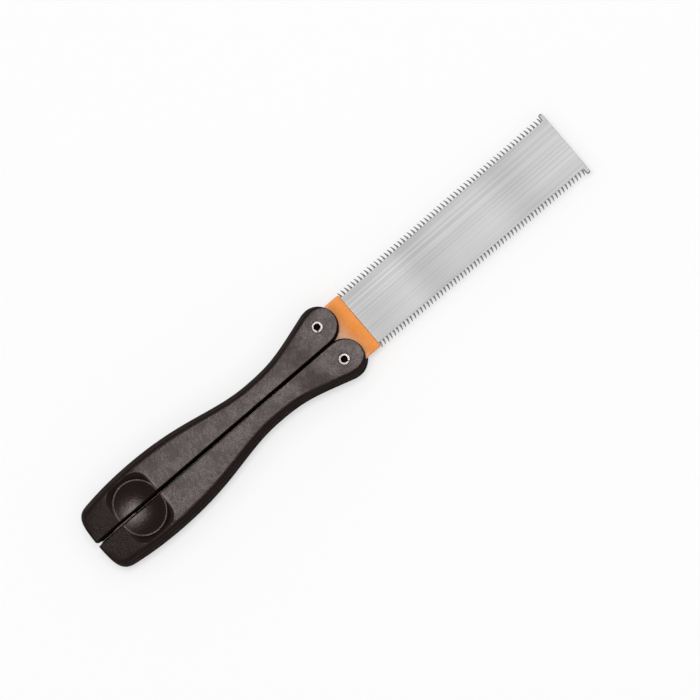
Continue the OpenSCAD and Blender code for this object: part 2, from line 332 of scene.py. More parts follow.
def post_outline(inset):
    """The +Y end post from its foot to the tip, drawn in by its bevel."""
    inner = blade_reach - post_w
    root = point_half(inner) - tooth_depth
    side_r, tip_r = post_corner_r - inset, post_corner_r - inset * tip_bevel_share
    bend_y = post_half - post_corner_r
    points = [(inner - before + share * inset, root + above) for before, above, share in post_foot]
    points += arc(inner + post_corner_r, bend_y, side_r, 180, 90, corner_steps)
    return points + arc(blade_reach - post_corner_r, bend_y, tip_r, 90, 0, corner_steps, side_r)


tang_outline = arc(0, pivot_y, tang_back, 180, 90, corner_steps)
tang_outline.append((hub_reach, point_half(hub_reach) - tooth_depth))

bm = bmesh.new()
layers = []
for z, face, inset in (
    (-blade_t / 2, -1, post_bevel), (-blade_t / 2 + post_bevel_t, -1, 0),
    (blade_t / 2 - post_bevel_t, 1, 0), (blade_t / 2, 1, post_bevel),
):
    whole = both_sides(tang_outline + edge_outline(face) + post_outline(inset))
    layers.append([bm.verts.new((x, y, z)) for x, y in whole])
join_rings(bm, layers, closed=False)
# Each face of the sheet is its teeth, strips across from root to root, and the strip between the posts
tooth_points = len(tooth_shares)
step = tooth_points + len(gullet_shares)
tooth_starts = [len(tang_outline) + i * step for i in range(tooth_count)]
post_from = tooth_starts[-1] + tooth_points
spine = list(range(tooth_starts[0]))
for k in tooth_starts:
    spine += [k, k + tooth_points - 1]
    if k < tooth_starts[-1]:
        spine += range(k + tooth_points, k + step)
spine.append(post_from)
for layer in (layers[0], layers[-1]):
    mirrored = layer[::-1]
    for k in tooth_starts:
        bm.faces.new(layer[k:k + tooth_points])
        bm.faces.new(mirrored[k:k + tooth_points])
    for a, b in zip(spine, spine[1:]):
        bm.faces.new((layer[a], layer[b], mirrored[b], mirrored[a]))
    bm.faces.new(layer[post_from:len(layer) - post_from])
blade = new_object("blade_visual", finish_mesh(bm, "blade_visual", blade_crease))


def cut(target, tool, operation="DIFFERENCE"):
    """Applies one boolean with another object, which is then removed."""
    modifier = target.modifiers.new("cut", "BOOLEAN")
    modifier.operation = operation
    modifier.solver = "MANIFOLD"
    modifier.object = tool
    depsgraph = bpy.context.evaluated_depsgraph_get()
    mesh = bpy.data.meshes.new_from_object(target.evaluated_get(depsgraph))
    target.modifiers.clear()
    mesh.materials.clear()
    old = target.data
    mesh.name = old.name
    target.data = mesh
    bpy.data.meshes.remove(old)
    old = tool.data
    bpy.data.objects.remove(tool)
    bpy.data.meshes.remove(old)


def circle(x, y, r, z, steps):
    turns = [2 * pi * i / steps for i in range(steps)]
    return [(x + r * cos(a), y + r * sin(a), z) for a in turns]


def turned(name, x, y, profile, steps=96):
    """A solid turned about an upright axis, from a profile of (radius, height) points."""
    return lofted(name, [circle(x, y, r, z, steps) for r, z in profile])


for side in (-1, 1):
    cut(blade, turned("tang_hole", 0, side * pivot_y, [(pin_seat_r, -1), (pin_seat_r, 1)]))
smooth_shaded(blade.data, blade_crease)
blade.modifiers.new("flat_faces", "WEIGHTED_NORMAL").keep_sharp = True


def new_group(name, sockets, outputs):
    """A node group whose inputs are given as name and value. Gives it, its inputs and its output node."""
    made = bpy.data.node_groups.new(name, "ShaderNodeTree")
    for label, value in sockets.items():
        made.interface.new_socket(label, in_out="INPUT", socket_type="NodeSocketFloat").default_value = value
    for label in outputs:
        made.interface.new_socket(label, in_out="OUTPUT", socket_type="NodeSocketFloat")
    return made, add_node(made, "NodeGroupInput").outputs, add_node(made, "NodeGroupOutput")


def fill_group(tree, group, values):
    """Places a group in a material, with this material's own values."""
    return add_node(tree, "ShaderNodeGroup", values, node_tree=group).outputs


def noise(tree, place, scale, detail, roughness):
    values = {"Vector": place, "Scale": scale, "Detail": detail, "Roughness": roughness}
    return add_node(tree, "ShaderNodeTexNoise", values).outputs["Fac"]


def weighted(tree, first, *others):
    """Adds up values, each given with its weight."""
    total = calc(tree, "MULTIPLY", *first)
    for value, weight in others:
        total = calc(tree, "ADD", total, calc(tree, "MULTIPLY", value, weight))
    return total


def mix_colour(tree, share, one, two):
    node = add_node(tree, "ShaderNodeMix", None, data_type="RGBA")
    for socket, value in (("Factor_Float", share), ("A_Color", one), ("B_Color", two)):
        target = next(s for s in node.inputs if s.identifier == socket)
        if isinstance(value, bpy.types.NodeSocket):
            tree.links.new(value, target)
        else:
            target.default_value = value
    return next(s for s in node.outputs if s.identifier == "Result_Color")


def bumped(tree, height, distance=1.0):
    """The way the surface faces once a height is laid over it."""
    values = {"Height": height, "Strength": 1.0, "Distance": distance}
    return add_node(tree, "ShaderNodeBump", values).outputs["Normal"]


# Fine lines drawn along the steel, from a noise that is stretched along X
noise_low, noise_high = 0.3, 0.7
brushing, given, gives = new_group(
    "brushing",
    {"Line length": 40 * mm, "Line width": 0.3 * mm, "Line depth": 0.004 * mm},
    ["Lines", "Height"],
)
line_scale = add_node(brushing, "ShaderNodeCombineXYZ", {
    "X": calc(brushing, "DIVIDE", 1, given["Line length"]),
    "Y": calc(brushing, "DIVIDE", 1, given["Line width"]),
    "Z": calc(brushing, "DIVIDE", 1, given["Line width"]),
}).outputs[0]
stretched = add_node(
    brushing, "ShaderNodeVectorMath", {0: coordinates(brushing), 1: line_scale}, operation="MULTIPLY"
).outputs[0]
lines = noise(brushing, stretched, 1, detail=4, roughness=0.7)
feed(
    brushing, gives,
    Lines=spread(brushing, lines, noise_low, noise_high, 0, 1),
    Height=calc(brushing, "MULTIPLY", lines, given["Line depth"]),
)

# Along edges, where the surface turns away from the rounded edge's own direction, unevenly: rubbed wear on
# most parts, painted shade along the hub's edges
turn_least, turn_full = 0.995, 0.9
patch_low, patch_high, patch_least = 0.35, 0.65, 0.2
edge_wear_and_shade, given, gives = new_group("edge_wear_and_shade", {"Reach": 0.3 * mm, "Patch": 2 * mm}, ["Worn"])
rounded = add_node(edge_wear_and_shade, "ShaderNodeBevel", {"Radius": given["Reach"]}, samples=6).outputs["Normal"]
flat = add_node(edge_wear_and_shade, "ShaderNodeNewGeometry").outputs["Normal"]
turn = add_node(
    edge_wear_and_shade, "ShaderNodeVectorMath", {0: rounded, 1: flat}, operation="DOT_PRODUCT"
).outputs["Value"]
patch_scale = calc(edge_wear_and_shade, "DIVIDE", 1, given["Patch"])
patches = noise(edge_wear_and_shade, coordinates(edge_wear_and_shade), patch_scale, detail=3, roughness=0.6)
turned_away = spread(edge_wear_and_shade, turn, turn_least, turn_full, 0, 1)
uneven = spread(edge_wear_and_shade, patches, patch_low, patch_high, patch_least, 1)
feed(edge_wear_and_shade, gives, Worn=calc(edge_wear_and_shade, "MULTIPLY", turned_away, uneven))


def bare_steel(name, brush, wear, roughness):
    """Steel with its own brushing. Gives back the lines and the rubbed edges that its colour is made from."""
    made, tree, shader = material(name, Metallic=1.0)
    brushed = fill_group(tree, brushing, brush)
    feed(
        tree, shader,
        Roughness=spread(tree, brushed["Lines"], 0, 1, *roughness),
        Normal=bumped(tree, brushed["Height"]),
    )
    return made, tree, shader, brushed["Lines"], fill_group(tree, edge_wear_and_shade, wear)["Worn"]


# Sheet steel: fine lines lengthwise, and broad soft bands across that are painted reflections, lighter and
# darker.
# Each band is given as its distance from the pins and how light it is.
steel_dark, steel_light = (0.42, 0.42, 0.42, 1), (0.565, 0.565, 0.565, 1)
steel_worn = (0.62, 0.62, 0.62, 1)
steel_roughness = (0.56, 0.52)
painted_reflection_bands = [(14, 0.45), (20, 0.35), (37, 1), (49, 0), (66, 0.6), (82, 0.85), (98, 0), (114, 0.55), (126, 0.7)]
reflection_band_weight, line_weight, broad_weight, margin_weight = 0.55, 0.2, 0.12, -0.2
margin_from, margin_to = 8, 12.5

steel, tree, shader, lines, wear_and_edge_shade = bare_steel(
    "brushed_blade_steel",
    {"Line length": 200 * mm, "Line width": 0.4 * mm, "Line depth": 0.001 * mm},
    {"Reach": 0.15 * mm, "Patch": 6 * mm},
    steel_roughness,
)
broad_lines = fill_group(tree, brushing, {"Line length": 900 * mm, "Line width": 1.6 * mm})["Lines"]
place = axes_of(tree, coordinates(tree))
along = calc(tree, "DIVIDE", calc(tree, "SUBTRACT", place["X"], pin_line.x), blade_reach * mm)
across = calc(tree, "ABSOLUTE", calc(tree, "SUBTRACT", place["Y"], pin_line.y))
ramp = add_node(tree, "ShaderNodeValToRGB", {0: along})
ramp.color_ramp.interpolation = "EASE"
while len(ramp.color_ramp.elements) < len(painted_reflection_bands):
    ramp.color_ramp.elements.new(0.5)
for stop, (at, level) in zip(ramp.color_ramp.elements, painted_reflection_bands):
    stop.position = at / blade_reach
    stop.color = (level, level, level, 1)
# Painted reflections: the bands lighten and darken the steel's colour along its length.
level = weighted(
    tree, (ramp.outputs["Color"], reflection_band_weight), (lines, line_weight), (broad_lines, broad_weight)
)
level = calc(tree, "ADD", level, spread(tree, across, margin_from * mm, margin_to * mm, 0, margin_weight))
tint = mix_colour(tree, level, steel_dark, steel_light)
feed(tree, shader, Base_Color=mix_colour(tree, wear_and_edge_shade, tint, steel_worn))

# Hardened teeth: the same steel, painted dark and a little bluish as shade on their filed facets, with file
# marks and lighter rubbed points
tooth_dark, tooth_light = (0.045, 0.045, 0.047, 1), (0.095, 0.095, 0.098, 1)
tooth_worn, tooth_worn_share = (0.35, 0.35, 0.36, 1), 0.3
tooth_roughness = (0.45, 0.35)
# The teeth's painted shade starts a little above the root and reaches over most of the post's bevel.
shade_above_root, shade_bevel_share = 0.02, 0.9
shade_to = blade_reach - post_w + shade_bevel_share * post_bevel

shaded_tooth_steel, tree, shader, lines, wear_and_edge_shade = bare_steel(
    "tooth_steel_painted_shade",
    {"Line length": 3 * mm, "Line width": 0.12 * mm, "Line depth": 0.002 * mm},
    {"Reach": 0.12 * mm, "Patch": 3 * mm},
    tooth_roughness,
)
tint = mix_colour(tree, lines, tooth_dark, tooth_light)
wear_and_painted_sheen = calc(tree, "MULTIPLY", wear_and_edge_shade, tooth_worn_share)
feed(tree, shader, Base_Color=mix_colour(tree, wear_and_painted_sheen, tint, tooth_worn))

blade.data.materials.append(steel)
blade.data.materials.append(shaded_tooth_steel)
# Faces on the teeth and along the end post's outer side take the dark tooth steel, which paints shade on
# them.
for face in blade.data.polygons:
    middle = face.center - pin_line
    x, y = middle.x / mm, abs(middle.y) / mm
    tooth = hub_reach < x < shade_to and y > point_half(x) - tooth_depth + shade_above_root
    post_side = y > post_half - post_bevel and x < blade_reach - post_bevel
    face.material_index = int(tooth or post_side)
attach(blade, "blade_and_hub")
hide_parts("blade")

# The hub: an orange moulding round the blade's tang, with two lobes about the pins and a square front.
# It lies between the ears of both handle halves, and the pins pass through it.
hub_t = 3.8
hub_half = 13.6
hub_corner_r = 0.6
hub_edge_r = 0.25
hub_corner_steps, lobe_steps = 6, 12
lobe_r = hub_half - pivot_y
tang_half = point_half_base - tooth_depth
pocket_past = 1


def hub_outline(inset):
    """Counted from the front +Y corner round the back, drawn in by the edge's rounding."""
    r = hub_corner_r
    front = arc(hub_reach - r, hub_half - r, r - inset, 0, 90, hub_corner_steps)
    return both_sides(front + arc(0, pivot_y, lobe_r - inset, 90, 180, lobe_steps))


def rounded_rim(reach, half_height, r, steps=4):
    """A side in section, as (reach, height): up over its lower rounded edge and on over its upper one."""
    lower = arc(reach - r, r - half_height, r, -90, 0, steps)
    return lower + arc(reach - r, half_height - r, r, 0, 90, steps)


def rounded_plate(name, outline, half_height, edge_r):
    """A plate with rounded edges, from an outline that can be drawn in."""
    rim = rounded_rim(0, half_height, edge_r)
    return lofted(name, [[(x, y, z) for x, y in outline(-out)] for out, z in rim])


hub = rounded_plate("blade_hub_visual", hub_outline, hub_t / 2, hub_edge_r)
pocket = both_sides(tang_outline[:-1] + [(hub_reach + pocket_past, tang_half)])
cut(hub, lofted("tang_pocket", [[(x, y, z) for x, y in pocket] for z in (-blade_t / 2, blade_t / 2)]))
for side in (-1, 1):
    cut(hub, turned("hub_bore", 0, side * pivot_y, [(pin_seat_r, -hub_t), (pin_seat_r, hub_t)]))

# The grain of a moulded face: clouds of a few millimetres, specks, and a fine spark-eroded height
speck_height = 1.6
moulded_grain, given, gives = new_group(
    "moulded_grain", {"Cloud": 4 * mm, "Speck": 0.8 * mm, "Grain": 0.25 * mm, "Grain depth": 0.01 * mm},
    ["Clouds", "Specks", "Height"],
)
place = coordinates(moulded_grain)
clouds, specks, fine = (
    noise(moulded_grain, place, calc(moulded_grain, "DIVIDE", 1, given[label]), detail, roughness=0.6)
    for label, detail in (("Cloud", 4), ("Speck", 2), ("Grain", 2))
)
raised = calc(moulded_grain, "ADD", fine, calc(moulded_grain, "MULTIPLY", specks, speck_height))
feed(
    moulded_grain, gives,
    Clouds=spread(moulded_grain, clouds, noise_low, noise_high, 0, 1),
    Specks=spread(moulded_grain, specks, noise_low, noise_high, 0, 1),
    Height=calc(moulded_grain, "MULTIPLY", raised, given["Grain depth"]),
)

# Orange plastic: painted dark shade along its edges, and painted light and sheen that pale it towards the
# pins, between the heads
orange_deep, orange_pale_and_sheen = (0.86, 0.26, 0.010, 1), (0.98, 0.60, 0.42, 1)
# Painted shade along the hub's edges.
orange_edge_shade = (0.25, 0.08, 0.02, 1)
orange_clouds, orange_specks = 0.16, 0.08
orange_specular = 0.25
orange_roughness = (0.48, 0.6)
# Painted light and sheen: the hub is paled from 11 mm to 3 mm in front of the pins, and this fades out
# between 2 mm in front of them and 1 mm behind.
sheen_front, sheen_full, sheen_most = 11, 3, 0.95
sheen_back, sheen_back_full = -1, 2

orange, tree, shader = material("orange_hub_plastic", Specular_IOR_Level=orange_specular)
grain = fill_group(tree, moulded_grain, {"Cloud": 6 * mm, "Speck": 1.2 * mm, "Grain depth": 0.012 * mm})
# The hub's edges are painted dark: painted shade along them.
wear_and_edge_shade = fill_group(tree, edge_wear_and_shade, {"Reach": 0.5 * mm, "Patch": 2.5 * mm})["Worn"]
along = axes_of(tree, coordinates(tree))["X"]
# Painted light and sheen, paling the hub towards the pins.
wear_and_painted_sheen = spread(tree, along, pin_line.x + sheen_front * mm, pin_line.x + sheen_full * mm, 0, sheen_most)
not_behind = spread(tree, along, pin_line.x + sheen_back * mm, pin_line.x + sheen_back_full * mm, 0, 1)
wear_and_painted_sheen = calc(tree, "MULTIPLY", wear_and_painted_sheen, not_behind)
patchy = weighted(tree, (grain["Clouds"], orange_clouds), (grain["Specks"], orange_specks))
tint = mix_colour(tree, calc(tree, "ADD", patchy, wear_and_painted_sheen, clamp=True), orange_deep, orange_pale_and_sheen)
feed(
    tree, shader,
    Base_Color=mix_colour(tree, wear_and_edge_shade, tint, orange_edge_shade),
    Roughness=spread(tree, grain["Clouds"], 0, 1, *orange_roughness),
    Normal=bumped(tree, grain["Height"]),
)
hub.data.materials.append(orange)
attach(hub, "blade_and_hub")
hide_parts("blade_hub")

# The pivot pins: spring steel strip rolled into a tube, with a slit along it and rounded ends.
# Each is pressed through the hub and the tang, and the ears of one handle half turn on it.
# A dark specked plug in the middle of its bore is painted shade, which keeps the bore black.
pin_wall = 0.9
pin_slit, pin_slit_outside = 0.6, 0.05
slit_angles = {"upper": -120, "lower": -60}
pin_l = 12.4
pin_end_r = 0.12
pin_burr = 0.04
pin_steps = 72
plug_half, plug_hollow, plug_bite = 4.2, 0.6, 0.02
plug_steps, plug_sides = 5, 36

pin_dull, pin_bright = (0.32, 0.285, 0.275, 1), (0.44, 0.405, 0.395, 1)
pin_worn = (0.50, 0.46, 0.45, 1)
pin_roughness = (0.5, 0.38)
pin_steel, tree, shader, lines, wear_and_edge_shade = bare_steel(
    "rolled_pin_steel",
    {"Line length": 0.8 * mm, "Line width": 0.2 * mm, "Line depth": 0.002 * mm},
    {"Reach": 0.1 * mm, "Patch": 1 * mm},
    pin_roughness,
)
tint = mix_colour(tree, lines, pin_dull, pin_bright)
feed(tree, shader, Base_Color=mix_colour(tree, wear_and_edge_shade, tint, pin_worn))

# The plug's dark specked colour is painted shade inside the bore.
bore_shade_dark, bore_shade_pale = (0.0050, 0.0016, 0.0012, 1), (0.0120, 0.0050, 0.0040, 1)
bore_shade_speck, bore_shade_lump = 0.4, 0.05
bore_shade_roughness = (0.6, 0.9)
bore_shade_specular = 0.05
bore_shade, tree, shader = material("painted_bore_shade", Specular_IOR_Level=bore_shade_specular)
specks = noise(tree, coordinates(tree), 1 / (bore_shade_speck * mm), detail=3, roughness=0.5)
feed(
    tree, shader,
    Base_Color=mix_colour(tree, specks, bore_shade_dark, bore_shade_pale),
    Roughness=spread(tree, specks, 0, 1, *bore_shade_roughness),
    Normal=bumped(tree, specks, bore_shade_lump * mm),
)

outer, inner = pin_d / 2, pin_d / 2 - pin_wall
profile = rounded_rim(outer, pin_l / 2, pin_end_r)
profile += [(inner + pin_burr, pin_l / 2), (inner, pin_l / 2 - pin_burr)]
profile += [(inner, -pin_l / 2 + pin_burr), (inner + pin_burr, -pin_l / 2)]
plug_shares = [(i / plug_steps, -1) for i in range(1, plug_steps + 1)]
plug_shares += [(share, 1) for share, end in reversed(plug_shares)]

for side, name in ((1, "upper"), (-1, "lower")):
    bm = bmesh.new()
    tube = []
    for i in range(pin_steps + 1):
        section = []
        for r, z in profile:
            slit = pin_slit + (pin_slit_outside - pin_slit) * (r - inner) / (outer - inner)
            half_gap = slit / 2 / r
            a = radians(slit_angles[name]) + half_gap + (2 * pi - 2 * half_gap) * i / pin_steps
            section.append(bm.verts.new((r * cos(a), side * pivot_y + r * sin(a), z)))
        tube.append(section)
    join_rings(bm, tube)
    # The plug is painted shade: a dark solid in the middle of the bore.
    first_plug_face = len(bm.faces)
    plug = []
    for share, end in plug_shares:
        r, z = share * (inner + plug_bite), end * (plug_half - plug_hollow * (1 - share ** 2))
        plug.append([bm.verts.new(point) for point in circle(0, side * pivot_y, r, z, plug_sides)])
    join_rings(bm, plug)
    bm.faces.ensure_lookup_table()
    for face in bm.faces[first_plug_face:]:
        face.material_index = 1
    pin = new_object(name + "_pivot_pin_visual", finish_mesh(bm, name + "_pivot_pin_visual"))
    pin.data.materials.append(pin_steel)
    pin.data.materials.append(bore_shade)
    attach(pin, "blade_and_hub")
    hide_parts(name + "_pivot_pin")

# The handle halves: one dark moulding used twice, the second turned over, each turning on its own pin.
# A half has ears round the hub, a slot along its outer side for the folded blade, a stop rib inside,
# and on both faces half of a thumb dish with a thin rim, in a sunk panel by the butt.
handle_reach = 127.4
half_t = 6.35
meet_gap = 0.15
slit_w_head, slit_w_butt = 1.2, 2.0
waist_at, waist_half = 38, 10
belly_at, belly_w = 97, 17.15
butt_taper = 2.6
butt_round = 8.5
shoulder_angle = radians(17)
edge_r, edge_r_belly = 3, 3.5
edge_r_from, edge_r_to = 50, 90
slit_edge_r = 0.25
edge_r_most, slit_edge_r_most = 0.8, 0.2
crown_drop, crown_run = 0.12, 5.5
slope_from, slope_to, slope_rate = 107.5, 114.5, 0.108
butt_edge_r = 0.8
land_h, land_round = 2.4, 2.4
# Between the ears the halves meet over more of their height, which hides the hub
ear_land_z, ear_land_from, ear_land_to, ear_gap = 4.4, 6.5, 11, 0.02
head_r = pivot_y - meet_gap
web_t_head, web_t_butt = 2, 1
web_behind_hub, web_past_butt = 1, 1
web_start = lobe_r + web_behind_hub
slot_half = 1.2
fork_half = 2
mouth_r = 0.08
bore_gap, turn_gap = 0.05, 0.45
bore_r = pin_d / 2 + bore_gap
turn_r = hypot(hub_reach, hub_half - pivot_y) + turn_gap

dish_at, dish_offset = 103.9, 1.8
dish_r, dish_rim_w, dish_depth = 10.3, 0.6, 1.95
bowl_r = dish_r - dish_rim_w
ball_r = (bowl_r ** 2 + dish_depth ** 2) / (2 * dish_depth)
panel_half_l, panel_w, panel_corner_r = 10.15, 14, 6.5
lip_h, lip_w, lip_rise, lip_fade = 0.07, 1.3, 0.3, 5
relief_half_l, relief_fade = 16, 0.4

neck_pull_shares = (0.535, 0.39)
flank_pull_shares = (0.305, 0.5)
shoulder_s = head_r * sin(shoulder_angle)
shoulder_w = pivot_y + head_r * cos(shoulder_angle)
halvings = 40


def bezier(a, b, c, d, t):
    return a * (1 - t) ** 3 + 3 * b * t * (1 - t) ** 2 + 3 * c * t * t * (1 - t) + d * t ** 3


def on_bezier(s, along, out):
    """The curve's width at a distance s behind the pins, found by halving."""
    low, high = 0.0, 1.0
    for _ in range(halvings):
        t = (low + high) / 2
        if bezier(*along, t) > s:
            low = t
        else:
            high = t
    return bezier(*out, t)


flank_run = belly_at - waist_at
flank_pull_waist, flank_pull_belly = (share * flank_run for share in flank_pull_shares)
flank_along = (belly_at, belly_at - flank_pull_belly, waist_at + flank_pull_waist, waist_at)
flank_out = (belly_w, belly_w, waist_half, waist_half)
neck_run = waist_at - shoulder_s
neck_pull_head, neck_pull_waist = (share * neck_run for share in neck_pull_shares)
neck_s = shoulder_s + neck_pull_head * cos(shoulder_angle)
neck_w = shoulder_w - neck_pull_head * sin(shoulder_angle)
neck_along = (waist_at, waist_at - neck_pull_waist, neck_s, shoulder_s)
neck_out = (waist_half, waist_half, neck_w, shoulder_w)


def smooth(low, high, x):
    t = min(1, max(0, (x - low) / (high - low)))
    return t * t * (3 - 2 * t)


def outer_w(s):
    """Width of a half at a distance s behind the pins, from the saw's middle line."""
    if s > belly_at:
        w = belly_w - butt_taper * ((s - belly_at) / (handle_reach - belly_at)) ** 2
        u = max(0.0, (handle_reach - s) / butt_round)
        return w if u >= 1 else w * (1 - (1 - u) ** 4) ** 0.25
    if s > waist_at:
        return on_bezier(s, flank_along, flank_out)
    if s > shoulder_s:
        return on_bezier(s, neck_along, neck_out)
    return pivot_y + sqrt(max(0.0, head_r ** 2 - s * s))


def slit_at(s):
    """Half the slit between the faces of both halves, which opens towards the butt."""
    return (slit_w_head + (slit_w_butt - slit_w_head) * s / handle_reach) / 2


def land_at(s):
    """How far from the middle line the narrow land lies, along which the halves meet."""
    butt = (slit_at(handle_reach) - meet_gap) * max(0, 1 - (handle_reach - s) / land_round)
    return ear_gap + (meet_gap - ear_gap) * smooth(ear_land_from, ear_land_to, s) + butt


def face_z(s):
    """Height of the face, which slopes down to the butt and is rounded over at its end."""
    inside = max(0, butt_edge_r - (handle_reach - s))
    bend = min(max(0, s - slope_from), slope_to - slope_from)
    slope = slope_rate * (bend * bend / 2 / (slope_to - slope_from) + max(0, s - slope_to))
    return half_t - slope - butt_edge_r + sqrt(butt_edge_r ** 2 - inside ** 2)


def crown_at(y, flat_to):
    """How far the face has dropped towards the outer rounded edge."""
    return crown_drop * max(0, 1 - (flat_to - y) / crown_run) ** 2


def relief(s, y):
    """Height of the dish, and of the lip along the sunk panel's edge, over the handle's face."""
    u, v = s - dish_at, y - dish_offset
    if abs(u) > relief_half_l:
        return 0.0
    r = hypot(u, v)
    if r < bowl_r:
        return ball_r - dish_depth - sqrt(ball_r ** 2 - r * r)
    past_u = abs(u) - (panel_half_l - panel_corner_r)
    past_v = v - (panel_w - dish_offset - panel_corner_r)
    outside = hypot(max(past_u, 0), max(past_v, 0)) + min(max(past_u, past_v), 0) - panel_corner_r
    if outside < 0:
        return 0.0
    return lip_h * (1 - smooth(0, lip_w, outside)) * smooth(0, lip_rise, outside) * smooth(0, -lip_fade, u)


face_steps, slit_edge_steps, edge_steps = 52, 3, 9


def section_top(s, w, inner, share):
    """The upper half of one section across a handle half, from its slit edge over the top face."""
    z_face = face_z(s)
    belly = smooth(edge_r_from, edge_r_to, s)
    r = min((edge_r + (edge_r_belly - edge_r) * belly) * share, edge_r_most * (w - inner))
    rs = min(slit_edge_r, slit_edge_r_most * (w - inner))
    flat_from, flat_to = inner + rs, w - r
    top = arc(flat_from, z_face + relief(s, flat_from) - rs, rs, 180, 90, slit_edge_steps)
    for i in range(1, face_steps):
        y = flat_from + (flat_to - flat_from) * i / face_steps
        fade = smooth(flat_to, flat_to - relief_fade, y)
        top.append((y, z_face + relief(s, y) * fade - crown_at(y, flat_to)))
    return top + arc(flat_to, z_face - r - crown_drop, r, 90, 0, edge_steps)


# Sections stand closer at the butt's rounding and at the dish, and go round the head by even angles.
# Each is its distance behind the pins, outer and slit width, land, and share of the edge's radius.
butt_steps, dish_steps, body_steps, head_steps = 30, 100, 50, 30
butt_first_angle, head_last_angle = 1, 89.2
edge_fade_angle, edge_min_share = 75, 0.12
dish_from, dish_to = handle_reach - butt_round, 91.5

butt_turns = [radians(butt_first_angle + (90 - butt_first_angle) * i / butt_steps) for i in range(butt_steps)]
behind = [handle_reach - butt_round * (1 - sqrt(cos(a))) for a in butt_turns]
behind += [dish_from + (dish_to - dish_from) * i / dish_steps for i in range(dish_steps + 1)]
behind += [dish_to * (1 - i / body_steps) for i in range(1, body_steps)]
stations = [(s, outer_w(s), slit_at(s), land_at(s), 1) for s in behind]
for i in range(head_steps + 1):
    angle = head_last_angle * i / head_steps
    along, out = sin(radians(angle)), cos(radians(angle))
    stations.append((
        -head_r * along,
        pivot_y + head_r * out,
        pivot_y - (pivot_y - slit_at(0)) * out,
        pivot_y - (head_r + meet_gap - ear_gap) * out,
        max(edge_min_share, 1 - angle / edge_fade_angle),
    ))

sections = []
for s, w, inner, land, share in stations:
    top = section_top(s, w, inner, share)
    land_z = land_h / 2 + (ear_land_z - land_h / 2) * smooth(ear_land_to, ear_land_from, s)
    points = top + [(y, -z) for y, z in reversed(top)] + [(land, -land_z), (land, land_z)]
    sections.append([(-s, y, z) for y, z in points])
half = lofted("upper_handle_half_visual", sections)

# The stop rib stands out from the inner side, with a higher ridge along it. It lies below mid height
# on this half and above it on the other.
rib_half_l, rib_at, rib_gap, rib_root, rib_edge_r = 6, 112.7, 0.1, 1.2, 0.06
ridge_inset, ridge_w = 0.3, 0.55
ridge_half_l = rib_half_l - ridge_inset
rib_drop, ridge_drop = 2.6, 1.35


def bar_outline(half_l, root, inset):
    rear, front = -rib_at - half_l + inset, -rib_at + half_l - inset
    return [(rear, rib_gap + inset), (front, rib_gap + inset), (front, root), (rear, root)]


for half_l, root, drop in ((rib_half_l, rib_root, rib_drop), (ridge_half_l, rib_gap + ridge_w, ridge_drop)):
    top = half_t - drop
    rib = rounded_plate("stop_rib", partial(bar_outline, half_l, root), top / 2, rib_edge_r)
    rib.data.transform(Matrix.Translation((0, 0, -top / 2 * mm)))
    cut(half, rib, "UNION")

# The sunk panel is cut round the dish's rim, shallow at its own outline and deepest next to the rim
panel_step, panel_slope, panel_run, panel_steps = 0.08, 0.5, 4, 5
panel_corner_steps, dish_rim_steps = 15, 192
panel_over, core_over = 1, 2


def panel_outline(inset):
    """Half of the panel's outline from the slit round to the slit, as distance behind the pins and width."""
    end, side = panel_half_l - panel_corner_r, panel_w - panel_corner_r
    quarter = [(panel_half_l - inset, rib_gap)]
    quarter += arc(end, side, panel_corner_r - inset, 0, 90, panel_corner_steps)
    return [(dish_at + u, y) for u, y in quarter + [(-u, y) for u, y in reversed(quarter)]]


for face in (1, -1):
    rings = [[(-s, y, face * (half_t + panel_over)) for s, y in panel_outline(0)]]
    for inset in [panel_run * i / panel_steps for i in range(panel_steps + 1)]:
        depth = panel_step + panel_slope * inset
        rings.append([(-s, y, face * (face_z(s) - depth)) for s, y in panel_outline(inset)])
    sunk_panel = lofted("sunk_panel", rings)
    core = [(dish_r, 0), (dish_r, face * (half_t + core_over))]
    cut(sunk_panel, turned("dish_core", -dish_at, dish_offset, core, dish_rim_steps))
    cut(half, sunk_panel)

# The slot for the folded blade, the fork round the hub and the bore for the pin are cut last.
# Where the slot and the fork come out of the side, their mouths are rounded.
slot_from, slot_least_w = 10, 0.3
cutter_over, mouth_steps = 2, 3
fork_inner_steps, fork_head_steps, fork_side_steps, fork_back_steps = 4, 60, 24, 24
search_step = 0.02
bore_chamfer, bore_over = 0.15, 1


def plan_cutter(name, loop, half_height):
    """A flat cutter over an outline in plan. Its mouth flares where the outline has an outward direction."""
    flare = arc(-mouth_r, mouth_r, mouth_r, -90, 0, mouth_steps) + [(cutter_over, mouth_r)]
    levels = [(out, up, -1) for out, up in flare] + [(out, up, 1) for out, up in reversed(flare)]
    bm = bmesh.new()
    layers = []
    for out, up, side in levels:
        layers.append([
            bm.verts.new((x + out * nx, y + out * ny, side * (half_height + (up if nx or ny else 0))))
            for x, y, nx, ny in loop
        ])
    join_rings(bm, layers)
    bmesh.ops.remove_doubles(bm, verts=bm.verts, dist=weld)
    bmesh.ops.dissolve_degenerate(bm, dist=1e-6, edges=bm.edges)
    return new_object(name, finish_mesh(bm, name))


def with_outward(points):
    """Adds the outward direction to each point of an outline walked with the body on its right."""
    made = []
    for i, (x, y) in enumerate(points):
        ax, ay = points[max(0, i - 1)]
        bx, by = points[min(len(points) - 1, i + 1)]
        length = hypot(bx - ax, by - ay)
        made.append((x, y, -(by - ay) / length, (bx - ax) / length))
    return made


def web_at(s):
    """How far from the middle line the wall between slit and slot ends, which thins towards the butt."""
    run = (s - web_start) / (handle_reach + web_past_butt - web_start)
    return meet_gap + web_t_head + (web_t_butt - web_t_head) * run


